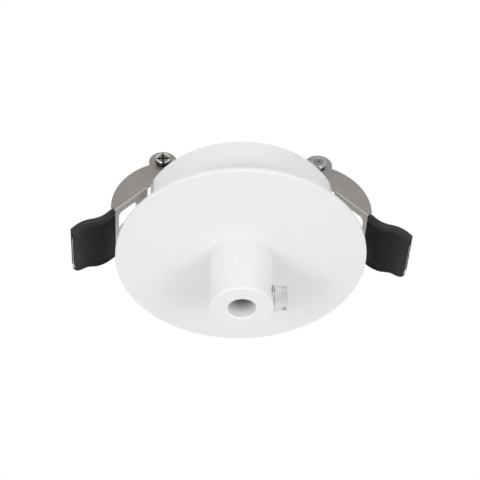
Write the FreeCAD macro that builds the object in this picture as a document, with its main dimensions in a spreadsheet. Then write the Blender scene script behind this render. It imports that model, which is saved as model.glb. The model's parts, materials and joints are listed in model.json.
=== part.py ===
import FreeCAD, Part
import math
import os
import re

import Sketcher

# Recessed electrical ceiling rose. A thin flange with a round cup behind it sits in a round
# cut-out of the ceiling and is held by two sprung clips. A turned boss under the flange carries
# the cord, which a clear screw grips from the side.
# Frame: Z runs up into the ceiling void along the cord's axis, X runs through both clips, and
# z = 0 is the flange's upper face, which meets the ceiling. All sizes are in millimetres.

Vector = FreeCAD.Vector

SIZES = {
    # Flange and cup, one piece
    "cup_dia": 71.0,
    "cup_wall": 1.5,
    "cup_rise": 22.5,
    "cup_rim_edge": 0.4,
    "flat_cut": 3.5,
    "flange_lip": 9.5,
    "flange_thick": 1.5,
    "flange_edge": 0.5,
    # Outlet boss with its threaded spigot
    "cord_bore_dia": 10.0,
    "cord_bore_lead": 0.4,
    "boss_wall": 6.25,
    "boss_drop": 23.3,
    "boss_edge": 0.9,
    "spigot_wall": 2.0,
    "spigot_gap": 0.2,
    "spigot_tail": 1.5,
    "thread_gap": 0.05,
    "boss_washer_lip": 5.0,
    "boss_washer_thick": 1.0,
    "boss_nut_wall": 2.5,
    "boss_nut_thick": 4.0,
    # Clear cord-grip screw
    "grip_wall": 0.4,
    "grip_head_dia": 9.2,
    "grip_head_length": 4.5,
    "grip_head_edge": 0.7,
    "grip_head_gap": 0.1,
    "grip_slot_width": 1.2,
    "grip_slot_depth": 1.7,
    "grip_shank_dia": 4.8,
    "grip_shank_gap": 0.06,
    "grip_rest_gap": 0.1,
    "grip_travel": 3.4,
    # Folded clip, drawn from the pivot along the web's own slope
    "pivot_lift": 12.95,
    "web_slope": 46.6,
    "clip_sheet": 0.8,
    "cheek_span": 23.2,
    "cheek_end": 29.7,
    "cheek_nose": 2.18,
    "fold_drop": 5.15,
    "fold_flat": 0.1,
    "arc_radius": 23.5,
    "arc_crown": 4.0,
    "web_gap": 1.2,
    "window_lead": 5.4,
    "window_tail": 1.8,
    "window_lip": 2.5,
    "window_corner": 2.0,
    "pivot_hole_gap": 0.08,
    # Blade beyond the cheeks
    "blade_inset": 0.5,
    "blade_lead": 3.5,
    "blade_bend_in": 10.2,
    "blade_angle_in": 34.0,
    "blade_bend_out": 10.0,
    "blade_angle_out": 37.5,
    "blade_tip": 2.2,
    "blade_corner": 4.5,
    # Black sleeve on the blade
    "sleeve_set": 0.3,
    "sleeve_lip": 1.3,
    "sleeve_wall": 0.65,
    "sleeve_gap": 0.05,
    "sleeve_flat": 0.2,
    "sleeve_short": 0.35,
    # Hinge bracket, riveted to the cup's flat
    "bracket_sheet": 0.8,
    "bracket_foot": 2.5,
    "shoulder_lip": 0.8,
    "stop_gap": 0.1,
    "ear_gap": 0.6,
    "bracket_ear": 4.0,
    "bracket_neck": 3.0,
    "coil_slot_width": 12.0,
    "coil_slot_gap": 0.5,
    "rivet_dia": 3.0,
    "rivet_head_dia": 5.0,
    "rivet_head": 0.9,
    "rivet_spread": 13.0,
    "rivet_height": 9.0,
    # Pivot screw, nut and bush
    "pivot_dia": 3.0,
    "pivot_head_dia": 5.6,
    "pivot_head": 2.1,
    "pivot_head_edge": 0.9,
    "pivot_head_gap": 0.1,
    "nut_crown": 0.6,
    "recess_length": 3.4,
    "recess_width": 0.8,
    "recess_depth": 1.1,
    "dimple_dia": 1.0,
    "dimple_depth": 0.4,
    "bush_gap": 0.08,
    "bush_clear": 0.4,
    # Torsion spring round the bush
    "wire_dia": 1.0,
    "coil_gap": 0.3,
    "coil_turns": 5,
    "coil_space": 0.08,
    "web_leg_reach": 3.7,
    "cup_leg_tail": 3.0,
    "leg_gap": 0.05,
    # Terminal block on two pillars
    "pillar_dia": 6.0,
    "block_clear": 0.3,
    "block_gap": 1.1,
    "block_end": 4.5,
    "block_lip": 3.2,
    "block_rise": 8.0,
    "block_edge": 0.6,
    "turret_wall": 1.5,
    "turret_rise": 5.0,
    "pole_pitch": 10.0,
    "screw_spread": 8.6,
    "insert_dia": 5.2,
    "insert_bore": 3.0,
    "insert_height": 3.8,
    "insert_gap": 0.05,
    "terminal_screw_dia": 3.4,
    "terminal_screw_length": 5.2,
    "terminal_screw_slot": 0.7,
    "fixing_head_dia": 5.2,
    "fixing_head": 1.6,
    "fixing_shank_dia": 2.8,
    "fixing_bite": 3.5,
    # Earth screw on its own pillar
    "earth_gap": 5.5,
    "earth_pillar_dia": 9.0,
    "earth_pillar_rise": 5.0,
    "earth_washer_thick": 1.2,
    "earth_head_lip": 1.8,
    "earth_head": 2.4,
    "earth_shank_dia": 4.0,
}

# Sizes and places that follow from the driving ones
FOLLOWING = {
    "flange_dia": "cup_dia + 2 * flange_lip",
    "flat_reach": "cup_dia / 2 - flat_cut",
    "boss_dia": "cord_bore_dia + 2 * boss_wall",
    "boss_end": "-flange_thick - boss_drop",
    "spigot_dia": "cord_bore_dia + 2 * spigot_wall",
    "nut_top": "boss_washer_thick + boss_nut_thick",
    "spigot_top": "nut_top + spigot_tail",
    "grip_height": "boss_end + grip_wall + grip_head_gap + grip_head_dia / 2",
    "grip_tip": "cord_bore_dia / 2 + grip_rest_gap",
    "grip_head_in": "boss_dia / 2 + grip_rest_gap",
    "grip_head_out": "grip_head_in + grip_head_length",
    # Hinge: the coil lies on the web, the bush inside the coil, the pivot beside the plate
    "coil_radius": "fold_drop - clip_sheet - leg_gap - wire_dia / 2",
    "bush_radius": "coil_radius - wire_dia / 2 - coil_gap",
    "pivot_reach": "flat_reach - bush_radius - bush_clear",
    "pivot_rise": "cup_rise + pivot_lift",
    "plate_face": "flat_reach + bracket_sheet",
    "plate_level": "pivot_rise - (plate_face - pivot_reach) * tan(web_slope)",
    "shoulder": "plate_level - fold_drop / cos(web_slope) - stop_gap",
    "coil_slot_floor": "plate_level - (coil_radius + wire_dia / 2) / cos(web_slope) - coil_slot_gap",
    "bracket_top": "pivot_rise + bracket_neck",
    "bracket_span": "cheek_span - 2 * clip_sheet - 2 * ear_gap",
    "shoulder_width": "cheek_span + 2 * shoulder_lip",
    "head_in": "cheek_span / 2 + pivot_head_gap",
    "head_out": "head_in + pivot_head",
    "shank_out": "head_out - nut_crown",
    "coil_pitch": "wire_dia + coil_space",
    # Clip: the web starts just outside the plate, the arc ends at the cheek's nose
    "ear_radius": "fold_drop",
    "web_start": "(plate_face + web_gap - pivot_reach + fold_drop * sin(web_slope)) / cos(web_slope)",
    "window_start": "web_start + window_lead",
    "window_end": "cheek_end - window_tail",
    "fold_radius": "clip_sheet - fold_flat",
    "arc_drop": "arc_radius - arc_crown",
    "arc_shift": "cheek_end - sqrt(arc_radius^2 - (arc_drop - fold_drop + cheek_nose)^2)",
    "blade_width": "cheek_span - 2 * blade_inset",
    "window_width": "blade_width - 2 * window_lip",
    "blade_straight": "cheek_end + blade_lead",
    "sleeve_start": "cheek_end + sleeve_set",
    "sleeve_half": "clip_sheet / 2 + sleeve_gap + sleeve_wall",
    "sleeve_width": "blade_width + 2 * sleeve_gap + 2 * sleeve_lip",
    # Terminals and earth: the block's far corners stand just inside the cup
    "pillar_rise": "nut_top + block_clear",
    "block_length": "2 * pole_pitch + 2 * block_end",
    "block_depth": "screw_spread + 2 * block_lip",
    "block_edge_place": "sqrt((cup_dia / 2 - cup_wall - block_gap)^2 - (block_length / 2)^2)",
    "block_place": "block_edge_place - block_depth / 2",
    "block_top": "pillar_rise + block_rise",
    "turret_dia": "terminal_screw_dia + 2 * turret_wall",
    "insert_axis": "pillar_rise + insert_height",
    "earth_place": "cup_dia / 2 - cup_wall - earth_gap - earth_pillar_dia / 2",
    "earth_head_dia": "earth_shank_dia + 2 * earth_head_lip",
}

WORD = re.compile(r"[a-z][a-z_]*")

doc = FreeCAD.newDocument("ceiling_rose")
sizes = doc.addObject("Spreadsheet::Sheet", "sizes")
for row, (alias, amount) in enumerate(SIZES.items(), 1):
    sizes.set("A%d" % row, alias.replace("_", " "))
    sizes.set("B%d" % row, str(amount))
    sizes.setAlias("B%d" % row, alias)
doc.recompute()

nodes = {}


# Sizes, bindings and sketches


def opened(word):
    """A word of an expression, written out if it follows from the driving sizes."""
    name = word.group()
    return "(%s)" % WORD.sub(opened, FOLLOWING[name]) if name in FOLLOWING else name


def cell(word):
    """A word of an expression, led by the sheet's name if it is a driving size."""
    name = word.group()
    return "sizes." + name if name in SIZES else name


def bound(text):
    """The same expression with every driving size read from its cell."""
    return WORD.sub(cell, WORD.sub(opened, text))


def number(text):
    """What an expression of sizes comes to."""
    return float(sizes.evalExpression(WORD.sub(opened, text)))


def bind(part, **expressions):
    """Tie properties to expressions of sizes; a double underscore stands for a dot."""
    for name, text in expressions.items():
        part.setExpression(name.replace("__", "."), bound(text))
    return part


def new_body(name):
    """An empty body."""
    return doc.addObject("PartDesign::Body", name)


def new_sketch(body, role, lift="0"):
    """An empty sketch on one of the body's planes, lifted along the plane's normal."""
    drawn = body.newObject("Sketcher::SketchObject", body.Name + "_sketch")
    plane = next(face for face in body.Origin.OriginFeatures if face.Role == role)
    drawn.AttachmentSupport = [(plane, "")]
    drawn.MapMode = "FlatFace"
    drawn.setExpression("AttachmentOffset.Base.z", bound(lift))
    return drawn


def limit(drawn, constraint, text):
    """Add a constraint whose amount is an expression of sizes."""
    index = drawn.addConstraint(constraint)
    drawn.setExpression("Constraints[%d]" % index, bound(text))


def hold(drawn, shape, point, across, along):
    """Hold a point of a sketch at its two distances from the origin."""
    for kind, axis, text in (("DistanceX", -2, across), ("DistanceY", -1, along)):
        amount = number(text)
        if amount == 0:
            drawn.addConstraint(Sketcher.Constraint("PointOnObject", shape, point, axis))
        else:
            limit(drawn, Sketcher.Constraint(kind, -1, 1, shape, point, amount), text)


def draw_circle(drawn, across, along, radius):
    """A circle held by its centre and radius."""
    centre = Vector(number(across), number(along), 0)
    round_line = Part.Circle(centre, Vector(0, 0, 1), number(radius))
    shape = drawn.addGeometry(round_line, False)
    hold(drawn, shape, 3, across, along)
    limit(drawn, Sketcher.Constraint("Radius", shape, number(radius)), radius)


def draw_arc(drawn, start, end, radius):
    """The shorter arc between two points: counter-clockwise if the radius is positive."""
    turn = 1 if radius > 0 else -1
    chord = end - start
    reach = (radius ** 2 - (chord.Length / 2) ** 2) ** 0.5
    side = Vector(-chord.y, chord.x, 0).normalize()
    centre = (start + end) / 2 + side * turn * reach
    first, last = (start, end) if turn > 0 else (end, start)
    begin = math.atan2(first.y - centre.y, first.x - centre.x)
    sweep = (math.atan2(last.y - centre.y, last.x - centre.x) - begin) % (2 * math.pi)
    circle = Part.Circle(centre, Vector(0, 0, 1), abs(radius))
    shape = drawn.addGeometry(Part.ArcOfCircle(circle, begin, begin + sweep), False)
    return (shape, 1, 2) if turn > 0 else (shape, 2, 1)


def draw_outline(drawn, corners):
    """A closed outline. A corner with a third entry starts an arc of that radius."""
    spots = [Vector(number(corner[0]), number(corner[1]), 0) for corner in corners]
    pieces = []
    for corner, start, end in zip(corners, spots, spots[1:] + spots[:1]):
        if len(corner) == 2:
            line = drawn.addGeometry(Part.LineSegment(start, end), False)
            pieces.append((line, 1, 2))
            continue
        piece = draw_arc(drawn, start, end, number(corner[2]))
        limit(drawn, Sketcher.Constraint("Radius", piece[0], abs(number(corner[2]))),
              "abs(%s)" % corner[2])
        pieces.append(piece)
    for corner, (shape, start, _), before in zip(corners, pieces, pieces[-1:] + pieces[:-1]):
        meet = Sketcher.Constraint("Coincident", before[0], before[2], shape, start)
        drawn.addConstraint(meet)
        hold(drawn, shape, start, corner[0], corner[1])


def draw_box(drawn, left, low, right, high):
    """A rectangle between two corners."""
    draw_outline(drawn, [(left, low), (right, low), (right, high), (left, high)])


# Features


def pad(body, drawn, length, both=False, back=False):
    """Add the drawn outline's sweep, to one side or half to each side."""
    feature = body.newObject("PartDesign::Pad", body.Name + "_pad")
    feature.Profile = drawn
    feature.SideType = "Symmetric" if both else "One side"
    feature.Reversed = back
    return bind(feature, Length=length)


def pocket(body, drawn, length=None, both=False, back=False):
    """Take the drawn outline's sweep away, and make sure that it cut something."""
    doc.recompute()
    before = body.Shape.Volume
    feature = body.newObject("PartDesign::Pocket", body.Name + "_pocket")
    feature.Profile = drawn
    feature.SideType = "Symmetric" if both else "One side"
    feature.Reversed = back
    if length:
        bind(feature, Length=length)
    else:
        feature.Type = "ThroughAll"
    doc.recompute()
    if body.Shape.Volume >= before:
        raise RuntimeError("a pocket of %s cuts nothing" % body.Name)
    return feature


def revolve(body, drawn, axis):
    """Turn the drawn outline right round one of the sketch's axes."""
    feature = body.newObject("PartDesign::Revolution", body.Name + "_turned")
    feature.Profile = drawn
    feature.ReferenceAxis = (drawn, [axis])
    feature.Angle = 360
    return feature


def dress(body, kind, size, chosen):
    """Fillet or chamfer the edges that a test picks from the body as it stands."""
    doc.recompute()
    base = body.Tip
    names = ["Edge%d" % (i + 1) for i, edge in enumerate(base.Shape.Edges) if chosen(edge)]
    if not names:
        raise RuntimeError("no edge of %s to dress" % body.Name)
    feature = body.newObject("PartDesign::" + kind, body.Name + "_" + kind.lower())
    feature.Base = (base, names)
    return bind(feature, **{"Radius" if kind == "Fillet" else "Size": size})


def near(value, target):
    """Equal, as far as geometry goes."""
    return abs(value - target) < 1e-4


def lies_at(edge, **where):
    """Whether the whole edge lies at the given x, y or z (negative or positive if paired)."""
    box = edge.BoundBox
    spans = {"x": (box.XMin, box.XMax), "y": (box.YMin, box.YMax), "z": (box.ZMin, box.ZMax)}
    return all(near(spans[axis][0], target) and near(spans[axis][1], target)
               for axis, target in where.items())


def is_round(edge, radius):
    """Whether the edge is an arc or circle of that radius."""
    return hasattr(edge.Curve, "Radius") and near(edge.Curve.Radius, radius)


def finish(part, name, turned=False):
    """Name the part, turn it to the other side if asked, and list it as a node."""
    part.Label = name
    if turned:
        half_turn = FreeCAD.Placement(Vector(), FreeCAD.Rotation(Vector(0, 0, 1), 180))
        part.Placement = half_turn * part.Placement
    nodes[name] = part
    return part


def cylinder(radius, height, x="0", y="0", z="0", tilt=None):
    """A plain cylinder from its base point, along Z or along the tilted axis."""
    part = doc.addObject("Part::Cylinder", "cylinder")
    if tilt:
        part.Placement = FreeCAD.Placement(Vector(), FreeCAD.Rotation(*tilt))
    return bind(part, Radius=radius, Height=height,
                Placement__Base__x=x, Placement__Base__y=y, Placement__Base__z=z)


def block(length, width, height, x="0", y="0", z="0"):
    """A plain box from its lowest corner."""
    part = doc.addObject("Part::Box", "block")
    return bind(part, Length=length, Width=width, Height=height,
                Placement__Base__x=x, Placement__Base__y=y, Placement__Base__z=z)


def join(*parts):
    """One solid made of several that meet."""
    part = doc.addObject("Part::MultiFuse", "joined")
    part.Shapes = list(parts)
    return part


def cut(base, tool):
    """The base without the tool."""
    part = doc.addObject("Part::Cut", "cut")
    part.Base = base
    part.Tool = tool
    return part


def group(parts):
    """Several separate solids in one node."""
    part = doc.addObject("Part::Compound", "group")
    part.Links = list(parts)
    return part


ALONG_X = (Vector(0, 1, 0), 90)
ALONG_Y = (Vector(1, 0, 0), -90)
SIDES = (("right", False), ("left", True))


# Flange and cup


def cup_outline(drawn, inset):
    """The cup's round outline with a flat at each clip, inset by a wall."""
    reach = "(flat_reach - %s)" % inset
    radius = "(cup_dia / 2 - %s)" % inset
    half = "sqrt(%s^2 - %s^2)" % (radius, reach)
    draw_outline(drawn, [
        (reach, "-" + half),
        (reach, half, radius),
        ("-" + reach, half),
        ("-" + reach, "-" + half, radius),
    ])


def fixing_places():
    """The two fixing screws stand between the terminal block's poles."""
    return ["pole_pitch / 2", "-pole_pitch / 2"]


def rivet_places(drawn):
    """The two rivet holes of one hinge bracket."""
    for side in ("rivet_spread / 2", "-rivet_spread / 2"):
        draw_circle(drawn, side, "rivet_height", "rivet_dia / 2 + thread_gap")


def rose_body():
    """Flange disc with the open cup, the pillars and the holes for what is fixed to them."""
    body = new_body("rose_body")
    disc = new_sketch(body, "XY_Plane", "-flange_thick")
    draw_circle(disc, "0", "0", "flange_dia / 2")
    pad(body, disc, "flange_thick")
    dress(body, "Fillet", "flange_edge",
          lambda edge: lies_at(edge, z=number("-flange_thick")))

    cup = new_sketch(body, "XY_Plane")
    cup_outline(cup, "0")
    pad(body, cup, "cup_rise")
    dress(body, "Fillet", "cup_rim_edge", lambda edge: lies_at(edge, z=number("cup_rise")))
    hollow = new_sketch(body, "XY_Plane", "cup_rise")
    cup_outline(hollow, "cup_wall")
    pocket(body, hollow, "cup_rise")

    pillars = new_sketch(body, "XY_Plane")
    for place in fixing_places():
        draw_circle(pillars, place, "block_place", "pillar_dia / 2")
    pad(body, pillars, "pillar_rise")
    earth_pillar = new_sketch(body, "XY_Plane")
    draw_circle(earth_pillar, "0", "-earth_place", "earth_pillar_dia / 2")
    pad(body, earth_pillar, "earth_pillar_rise")

    pilots = new_sketch(body, "XY_Plane", "pillar_rise")
    for place in fixing_places():
        draw_circle(pilots, place, "block_place", "fixing_shank_dia / 2 + thread_gap")
    pocket(body, pilots, "pillar_rise")
    earth_hole = new_sketch(body, "XY_Plane", "earth_pillar_rise")
    draw_circle(earth_hole, "0", "-earth_place", "earth_shank_dia / 2 + thread_gap")
    pocket(body, earth_hole, "earth_pillar_rise")
    spigot_hole = new_sketch(body, "XY_Plane")
    draw_circle(spigot_hole, "0", "0", "spigot_dia / 2 + spigot_gap")
    pocket(body, spigot_hole, "flange_thick")

    rivets = new_sketch(body, "YZ_Plane")
    rivet_places(rivets)
    pocket(body, rivets, both=True)
    finish(body, "rose_body")


# Outlet boss and what holds it


def outlet_boss():
    """Turned boss: cord bore right through, spigot through the flange, and the grip's seat."""
    body = new_body("outlet_boss")
    half = new_sketch(body, "XZ_Plane")
    draw_outline(half, [
        ("cord_bore_dia / 2", "boss_end"),
        ("boss_dia / 2", "boss_end"),
        ("boss_dia / 2", "-flange_thick"),
        ("spigot_dia / 2", "-flange_thick"),
        ("spigot_dia / 2", "spigot_top"),
        ("cord_bore_dia / 2", "spigot_top"),
    ])
    revolve(body, half, "V_Axis")
    dress(body, "Fillet", "boss_edge",
          lambda edge: lies_at(edge, z=number("boss_end")) and is_round(edge, number("boss_dia / 2")))
    dress(body, "Chamfer", "cord_bore_lead",
          lambda edge: is_round(edge, number("cord_bore_dia / 2"))
          and (lies_at(edge, z=number("boss_end")) or lies_at(edge, z=number("spigot_top"))))

    seat = new_sketch(body, "YZ_Plane", "boss_dia / 2")
    draw_circle(seat, "0", "grip_height", "grip_head_dia / 2 + grip_head_gap")
    pocket(body, seat, "grip_travel")
    cross_hole = new_sketch(body, "YZ_Plane", "boss_dia / 2")
    draw_circle(cross_hole, "0", "grip_height", "grip_shank_dia / 2 + grip_shank_gap")
    pocket(body, cross_hole, "boss_dia / 2")
    finish(body, "outlet_boss")


def boss_fixings():
    """Washer and hexagon nut on the spigot, inside the cup."""
    hole = "spigot_dia / 2 + thread_gap"
    washer = cut(cylinder("spigot_dia / 2 + boss_washer_lip", "boss_washer_thick"),
                 cylinder(hole, "boss_washer_thick"))
    finish(washer, "boss_washer")

    hexagon = doc.addObject("Part::Prism", "hexagon")
    hexagon.Polygon = 6
    bind(hexagon, Circumradius="(spigot_dia + 2 * boss_nut_wall) / sqrt(3)", Height="boss_nut_thick",
         Placement__Base__z="boss_washer_thick")
    nut = cut(hexagon, cylinder(hole, "boss_nut_thick", z="boss_washer_thick"))
    finish(nut, "boss_nut")


def cord_grip_screw():
    """Headed screw across the boss: it rests backed off, with its tip flush with the bore."""
    body = new_body("cord_grip_screw")
    half = new_sketch(body, "XZ_Plane")
    draw_outline(half, [
        ("grip_tip", "0"),
        ("grip_head_out", "0"),
        ("grip_head_out", "grip_head_dia / 2"),
        ("grip_head_in", "grip_head_dia / 2"),
        ("grip_head_in", "grip_shank_dia / 2"),
        ("grip_tip", "grip_shank_dia / 2"),
    ])
    revolve(body, half, "H_Axis")
    dress(body, "Fillet", "grip_head_edge",
          lambda edge: lies_at(edge, x=number("grip_head_out"))
          and is_round(edge, number("grip_head_dia / 2")))
    slot = new_sketch(body, "YZ_Plane", "grip_head_out")
    draw_box(slot, "-grip_slot_width / 2", "-grip_head_dia / 2",
             "grip_slot_width / 2", "grip_head_dia / 2")
    pocket(body, slot, "grip_slot_depth")
    bind(body, Placement__Base__z="grip_height")
    finish(body, "cord_grip_screw")


# Clips: every piece is drawn on the right hinge and turned half round for the left one


def hang(part, slope="0"):
    """Put a part that is drawn from the pivot on the right hinge, turned down by a slope."""
    spot = Vector(number("pivot_reach"), 0, number("pivot_rise"))
    part.Placement = FreeCAD.Placement(spot, FreeCAD.Rotation(Vector(0, 1, 0), number(slope)))


def cheek_outline(drawn):
    """Side view of a cheek: an ear round the pivot, a large arc and the straight fold."""
    apart = "sqrt(arc_shift^2 + arc_drop^2)"
    inward = "((ear_radius^2 - arc_radius^2 + %s^2) / (2 * %s))" % (apart, apart)
    sideways = "sqrt(ear_radius^2 - %s^2)" % inward
    meet_across = "(%s * arc_shift + %s * arc_drop) / %s" % (inward, sideways, apart)
    meet_along = "(%s * arc_shift - %s * arc_drop) / %s" % (sideways, inward, apart)
    end_along = "sqrt(arc_radius^2 - (cheek_end - arc_shift)^2) - arc_drop"
    draw_outline(drawn, [
        ("0", "-ear_radius"),
        ("cheek_end", "-fold_drop"),
        ("cheek_end", end_along, "arc_radius"),
        (meet_across, meet_along, "ear_radius"),
        ("-ear_radius", "0", "ear_radius"),
    ])


def bend_corner(drawn, cheek):
    """What the fold's outer bend takes off a cheek's square lower corner, seen along the web."""
    turn = "-" if cheek > 0 else ""
    way = "" if cheek > 0 else "-"
    draw_outline(drawn, [
        (way + "cheek_span / 2", "-fold_drop"),
        (way + "cheek_span / 2", "fold_radius - fold_drop", turn + "fold_radius"),
        (way + "(cheek_span / 2 - fold_radius)", "-fold_drop"),
    ])


def blade_outline(drawn, start, tip, half):
    """Side view of a strip that follows the blade, half a thickness to each side."""
    turned = "(blade_angle_in - blade_angle_out)"
    mid = "(clip_sheet / 2 - fold_drop)"
    bend_x = "(blade_straight + blade_bend_in * sin(blade_angle_in))"
    bend_z = "(%s + blade_bend_in * (1 - cos(blade_angle_in)))" % mid
    last_x = "(%s + blade_bend_out * (sin(blade_angle_in) - sin(%s)))" % (bend_x, turned)
    last_z = "(%s + blade_bend_out * (cos(%s) - cos(blade_angle_in)))" % (bend_z, turned)
    tip_x = "(%s + %s * cos(%s))" % (last_x, tip, turned)
    tip_z = "(%s + %s * sin(%s))" % (last_z, tip, turned)
    stations = [
        (start, mid, "0"),
        ("blade_straight", mid, "0"),
        (bend_x, bend_z, "blade_angle_in"),
        (last_x, last_z, turned),
        (tip_x, tip_z, turned),
    ]

    def offset(station, sign):
        x, z, heading = stations[station]
        return ("%s - %s%s * sin(%s)" % (x, sign, half, heading),
                "%s + %s%s * cos(%s)" % (z, sign, half, heading))

    draw_outline(drawn, [
        offset(0, "-"),
        offset(1, "-") + ("blade_bend_in + " + half,),
        offset(2, "-") + ("-(blade_bend_out - %s)" % half,),
        offset(3, "-"),
        offset(4, "-"),
        offset(4, ""),
        offset(3, "") + ("blade_bend_out + " + half,),
        offset(2, "") + ("-(blade_bend_in - %s)" % half,),
        offset(1, ""),
        offset(0, ""),
    ])


def tip_edges(body):
    """A test for the two upright edges at the blade's far corners."""
    far = body.Shape.BoundBox.XMax

    def chosen(edge):
        middle = edge.CenterOfMass
        return (near(edge.Length, number("clip_sheet")) and middle.x > far - number("clip_sheet")
                and near(abs(middle.y), number("blade_width / 2")))

    return chosen


def spring_clip(side, turned):
    """One folded sheet: two cheeks, the web with its window, and the bent blade."""
    body = new_body("spring_clip_" + side)
    cheeks = new_sketch(body, "XZ_Plane")
    cheek_outline(cheeks)
    pad(body, cheeks, "cheek_span", both=True)

    inside = new_sketch(body, "XZ_Plane")
    beyond = "(2 * ear_radius)"
    draw_outline(inside, [
        ("-" + beyond, "-2 * fold_drop"),
        ("web_start", "-2 * fold_drop"),
        ("web_start", "clip_sheet - fold_drop"),
        ("cheek_end + " + beyond, "clip_sheet - fold_drop"),
        ("cheek_end + " + beyond, beyond),
        ("-" + beyond, beyond),
    ])
    pocket(body, inside, "cheek_span - 2 * clip_sheet", both=True)
    for cheek in (1, -1):
        bend = new_sketch(body, "YZ_Plane", "cheek_end")
        bend_corner(bend, cheek)
        pocket(body, bend, "cheek_end - web_start")

    window = new_sketch(body, "XY_Plane")
    draw_box(window, "window_start", "-window_width / 2", "window_end", "window_width / 2")
    pocket(body, window)
    dress(body, "Fillet", "window_corner",
          lambda edge: near(edge.Length, number("clip_sheet"))
          and near(abs(edge.CenterOfMass.y), number("window_width / 2"))
          and (lies_at(edge, x=number("window_start")) or lies_at(edge, x=number("window_end"))))

    blade = new_sketch(body, "XZ_Plane")
    blade_outline(blade, "(cheek_end - clip_sheet)", "blade_tip", "clip_sheet / 2")
    pad(body, blade, "blade_width", both=True)
    doc.recompute()
    dress(body, "Fillet", "blade_corner", tip_edges(body))

    pivot = new_sketch(body, "XZ_Plane")
    draw_circle(pivot, "0", "0", "pivot_dia / 2 + pivot_hole_gap")
    pocket(body, pivot, both=True)
    hang(body, "web_slope")
    finish(body, "spring_clip_" + side, turned)


def clip_sleeve(side, turned):
    """Flattened tube pushed over the blade: the steel edge shows at its open end."""
    body = new_body("clip_sleeve_" + side)
    outside = new_sketch(body, "XZ_Plane")
    blade_outline(outside, "sleeve_start", "(blade_tip - sleeve_short)", "sleeve_half")
    pad(body, outside, "sleeve_width", both=True)
    dress(body, "Fillet", "sleeve_half - sleeve_flat",
          lambda edge: near(abs(edge.CenterOfMass.y), number("sleeve_width / 2"))
          and edge.BoundBox.YLength < 1e-3
          and not near(edge.Length, number("2 * sleeve_half")))
    inside = new_sketch(body, "XZ_Plane")
    blade_outline(inside, "(sleeve_start - clip_sheet)", "(blade_tip + clip_sheet)",
                  "(clip_sheet / 2 + sleeve_gap)")
    pocket(body, inside, "blade_width + 2 * sleeve_gap", both=True)
    hang(body, "web_slope")
    finish(body, "clip_sleeve_" + side, turned)


# Hinge bracket and its rivets


def hinge_bracket(side, turned):
    """Folded plate on the cup's flat: its shoulders stop the clip, its ears carry the pivot."""
    body = new_body("hinge_bracket_" + side)
    half, ear_half, slot_half = "shoulder_width / 2", "bracket_span / 2", "coil_slot_width / 2"
    plate = new_sketch(body, "YZ_Plane", "flat_reach")
    draw_outline(plate, [
        ("-" + half, "bracket_foot"),
        (half, "bracket_foot"),
        (half, "shoulder"),
        (ear_half, "shoulder"),
        (ear_half, "bracket_top"),
        (slot_half, "bracket_top"),
        (slot_half, "coil_slot_floor"),
        ("-" + slot_half, "coil_slot_floor"),
        ("-" + slot_half, "bracket_top"),
        ("-" + ear_half, "bracket_top"),
        ("-" + ear_half, "shoulder"),
        ("-" + half, "shoulder"),
    ])
    pad(body, plate, "bracket_sheet")

    for lift, back in (("bracket_span / 2", True), ("-bracket_span / 2", False)):
        ear = new_sketch(body, "XZ_Plane", lift)
        draw_outline(ear, [
            ("plate_face", "pivot_rise - 2 * bracket_ear"),
            ("plate_face", "bracket_top"),
            ("pivot_reach", "pivot_rise + bracket_ear", "bracket_ear"),
            ("pivot_reach - bracket_ear", "pivot_rise", "bracket_ear"),
            ("pivot_reach", "pivot_rise - bracket_ear"),
        ])
        pad(body, ear, "bracket_sheet", back=back)

    pivot = new_sketch(body, "XZ_Plane")
    draw_circle(pivot, "pivot_reach", "pivot_rise", "pivot_dia / 2 + thread_gap")
    pocket(body, pivot, both=True)
    rivets = new_sketch(body, "YZ_Plane")
    rivet_places(rivets)
    pocket(body, rivets, back=True)
    finish(body, "hinge_bracket_" + side, turned)


def bracket_rivets(side, turned):
    """Two rivets through the bracket's plate and the cup's wall."""
    inner = "flat_reach - cup_wall"
    made = []
    for place in ("rivet_spread / 2", "-rivet_spread / 2"):
        where = {"y": place, "z": "rivet_height", "tilt": ALONG_X}
        tail = cylinder("rivet_head_dia / 2", "rivet_head", x=inner + " - rivet_head", **where)
        shank = cylinder("rivet_dia / 2", "cup_wall + bracket_sheet", x=inner, **where)
        head = cylinder("rivet_head_dia / 2", "rivet_head", x="plate_face", **where)
        made.append(join(tail, shank, head))
    finish(group(made), "bracket_rivets_" + side, turned)


# Pivot screw, nut, bush and spring


def head_rim(edge, place):
    """Whether an edge is the outer rim of a pivot head whose face is at that y."""
    return lies_at(edge, y=number(place)) and is_round(edge, number("pivot_head_dia / 2"))


def pivot_screw(side, turned):
    """Pan-head screw with a cross recess, through both cheeks and both ears."""
    body = new_body("pivot_screw_" + side)
    half = new_sketch(body, "YZ_Plane")
    draw_outline(half, [
        ("-shank_out", "0"),
        ("head_out", "0"),
        ("head_out", "pivot_head_dia / 2"),
        ("head_in", "pivot_head_dia / 2"),
        ("head_in", "pivot_dia / 2"),
        ("-shank_out", "pivot_dia / 2"),
    ])
    revolve(body, half, "H_Axis")
    dress(body, "Fillet", "pivot_head_edge", lambda edge: head_rim(edge, "head_out"))
    recess = new_sketch(body, "XZ_Plane", "-head_out")
    far, near_side = "recess_length / 2", "recess_width / 2"
    draw_outline(recess, [
        ("-" + far, "-" + near_side), ("-" + near_side, "-" + near_side),
        ("-" + near_side, "-" + far), (near_side, "-" + far),
        (near_side, "-" + near_side), (far, "-" + near_side),
        (far, near_side), (near_side, near_side),
        (near_side, far), ("-" + near_side, far),
        ("-" + near_side, near_side), ("-" + far, near_side),
    ])
    pocket(body, recess, "recess_depth", back=True)
    hang(body)
    finish(body, "pivot_screw_" + side, turned)


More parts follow.
